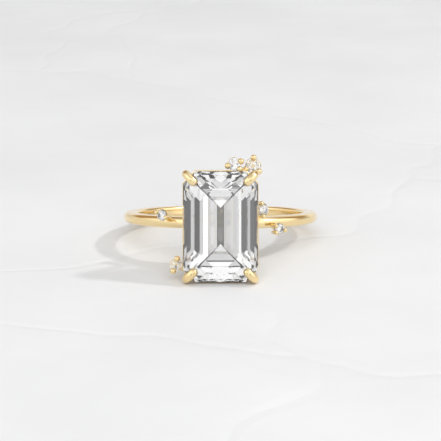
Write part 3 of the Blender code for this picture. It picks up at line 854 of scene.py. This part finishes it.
class RING_OT_centre_stone(bpy.types.Operator):
    """Cut the long step-cut centre stone"""

    bl_idname = "ring.centre_stone"
    bl_label = "Centre stone"

    def execute(self, context):
        diamond = stone_material(context.scene.ring_finish)
        mesh = step_cut_mesh("step_cut_stone", context.scene)
        finish_piece("step_cut_stone", mesh, "centre_stone", diamond)
        return {"FINISHED"}


class RING_OT_basket(bpy.types.Operator):
    """Make the gallery rail and the base rail"""

    bl_idname = "ring.basket"
    bl_label = "Basket rails"

    def execute(self, context):
        scene = context.scene
        gold = gold_material(scene.ring_finish)
        rail = finish_piece("gallery_frame", gallery_mesh("gallery_frame", scene), "gallery_rail", gold)
        tool = add_object("stone_tool", step_cut_mesh("stone_tool", scene, SEAT_GAP))
        cut_by(rail, tool)
        remove_object(tool)
        finish_piece("base_frame", base_mesh("base_frame", scene), "base_rail", gold)
        return {"FINISHED"}


class RING_OT_claws(bpy.types.Operator):
    """Make the four claws and seat them on the stone's cut corners"""

    bl_idname = "ring.claws"
    bl_label = "Claws"

    def execute(self, context):
        scene = context.scene
        gold = gold_material(scene.ring_finish)
        tool = add_object("stone_tool", step_cut_mesh("stone_tool", scene, SEAT_GAP))
        for corner, signs in CORNERS.items():
            points, radii = claw_route(scene, *signs)
            mesh = tube_mesh("rounded_claw_" + corner, points, radii, sides=40)
            cut_by(finish_piece("rounded_claw_" + corner, mesh, "claw_" + corner, gold), tool)
        remove_object(tool)
        return {"FINISHED"}


class RING_OT_accents(bpy.types.Operator):
    """Set the six small round stones in their cups"""

    bl_idname = "ring.accents"
    bl_label = "Accents"

    def execute(self, context):
        for number, accent in enumerate(accent_list(context.scene), 1):
            self.make_one(context.scene, number, *accent)
        return {"FINISHED"}

    def make_one(self, scene, number, diameter, centre, facing, prongs, bead, foot):
        sizes = scene.ring_accent
        gold, diamond = gold_material(scene.ring_finish), stone_material(scene.ring_finish)
        radius = diameter / 2
        depth = cup_depth(sizes, radius)
        local = facing_matrix(centre, facing)
        matrix = RING @ local
        node, piece = f"accent_{number}_", f"small_{number}_"
        mesh = brilliant_mesh(piece + "brilliant", radius, sizes.table)
        finish_piece(piece + "brilliant", mesh, node + "stone", diamond, matrix)

        floor = sizes.cup_floor - depth
        inside = (-sizes.cup_rim_drop - floor) / tan(ROUND_PAVILION)
        rim, cup_foot = radius + sizes.cup_proud, sizes.cup_foot * radius
        profile = [
            (0, floor),
            (inside - LIP, -sizes.cup_rim_drop - LIP),
            (inside + 0.3 * LIP, -sizes.cup_rim_drop),
            (rim - LIP, -sizes.cup_rim_drop),
            (rim, -sizes.cup_rim_drop - LIP),
            (cup_foot + LIP, -depth + LIP),
            (cup_foot - LIP, -depth),
            (0, -depth),
        ]
        finish_piece(piece + "collet", turned_mesh(piece + "collet", profile, 48), node + "cup", gold, matrix)

        around = add_object("bead_tool", brilliant_mesh("bead_tool", radius + SEAT_GAP, sizes.table), matrix)
        tall = add_object("stone_tool", step_cut_mesh("stone_tool", scene, SEAT_GAP))
        for i, degrees_round in enumerate(prongs, 1):
            turn = radians(degrees_round)
            side = Vector((cos(turn), sin(turn), 0)) * (radius + sizes.prong_out)
            heights, radii = bead_sections(bead, sizes.bead_rise, -PRONG_FOOT * depth, sizes.prong_post)
            points = [side + Vector((0, 0, height)) for height in heights]
            mesh = tube_mesh(f"{piece}bead_{i}", points, radii, sides=24)
            cut_by(finish_piece(f"{piece}bead_{i}", mesh, f"{node}prong_{i}", gold, matrix), around, tall)
        for tool in (around, tall):
            remove_object(tool)
        if foot:
            points = [Vector((0, 0, floor)), local.inverted() @ foot]
            mesh = tube_mesh(piece + "post", points, [sizes.stem] * 2)
            finish_piece(piece + "post", mesh, node + "stem", gold, matrix)


class RING_OT_stage(bpy.types.Operator):
    """Set up the plaster table, the light and the camera"""

    bl_idname = "ring.stage"
    bl_label = "Stage"

    def execute(self, context):
        scene = context.scene
        bm = bmesh.new()
        bmesh.ops.create_grid(bm, x_segments=60, y_segments=60, size=TABLE_HALF)
        mesh = bpy.data.meshes.new("plaster_table")
        bm.to_mesh(mesh)
        bm.free()
        table = add_object("plaster_table", mesh, Matrix.Translation((0, 0, CAD_BOX[0][2])), "stage")
        table.data.materials.append(plaster_material(scene.ring_finish))
        studio_world()

        add_lamp("key", size=0.05, energy=0.85, offset=Vector((0.40, -0.04, 0.42)))
        fill = add_lamp("fill", size=0.80, energy=4.2, offset=Vector((0.0, -0.66, 0.46)))
        fill.visible_glossy = fill.visible_transmission = False

        camera = bpy.data.objects.new("camera", bpy.data.cameras.new("camera"))
        new_collection("stage").objects.link(camera)
        back = RING_AXES[1] * sin(CAMERA_RAISED) + RING_AXES[2] * cos(CAMERA_RAISED)
        up = RING_AXES[1] * cos(CAMERA_RAISED) - RING_AXES[2] * sin(CAMERA_RAISED)
        aim = RING_CENTRE - up * CAMERA_DROP
        place = RING_CENTRE + back * CAMERA_DISTANCE
        toward = (place - aim).normalized()
        right = Vector((1, 0, 0))
        axes = Matrix((right, toward.cross(right), toward)).transposed().to_4x4()
        camera.matrix_world = Matrix.Translation(place) @ axes
        camera.data.sensor_fit = "HORIZONTAL"
        camera.data.angle = CAMERA_ANGLE
        camera.data.clip_start = 0.002
        camera.data.clip_end = 20.0
        scene.camera = camera
        scene.view_settings.view_transform = "Standard"
        return {"FINISHED"}


class RING_PT_panel(bpy.types.Panel):
    """Sizes, colours and buttons for the ring"""

    bl_idname = "RING_PT_panel"
    bl_label = "Engagement Ring"
    bl_space_type = "VIEW_3D"
    bl_region_type = "UI"
    bl_category = "Ring"

    def draw(self, context):
        for operator in OPERATORS:
            self.layout.operator(operator.bl_idname)
        for attribute, group in GROUPS.items():
            box = self.layout.box()
            box.label(text=group.__doc__)
            for key in group.__annotations__:
                box.prop(getattr(context.scene, attribute), key)


OPERATORS = (
    RING_OT_band,
    RING_OT_centre_stone,
    RING_OT_basket,
    RING_OT_claws,
    RING_OT_accents,
    RING_OT_stage,
)
GROUPS = {
    "ring_band": RingBandSizes,
    "ring_stone": RingStoneSizes,
    "ring_basket": RingBasketSizes,
    "ring_accent": RingAccentSizes,
    "ring_finish": RingFinish,
}


def register():
    for attribute, group in GROUPS.items():
        bpy.utils.register_class(group)
        setattr(bpy.types.Scene, attribute, PointerProperty(type=group))
    for kind in (*OPERATORS, RING_PT_panel):
        bpy.utils.register_class(kind)


def unregister():
    for kind in reversed((*OPERATORS, RING_PT_panel)):
        bpy.utils.unregister_class(kind)
    for attribute, group in reversed(GROUPS.items()):
        delattr(bpy.types.Scene, attribute)
        bpy.utils.unregister_class(group)


def main():
    register()
    bpy.ops.ring.band()
    bpy.ops.ring.centre_stone()
    bpy.ops.ring.basket()
    bpy.ops.ring.claws()
    bpy.ops.ring.accents()
    bpy.ops.ring.stage()


if __name__ == "__main__":
    main()
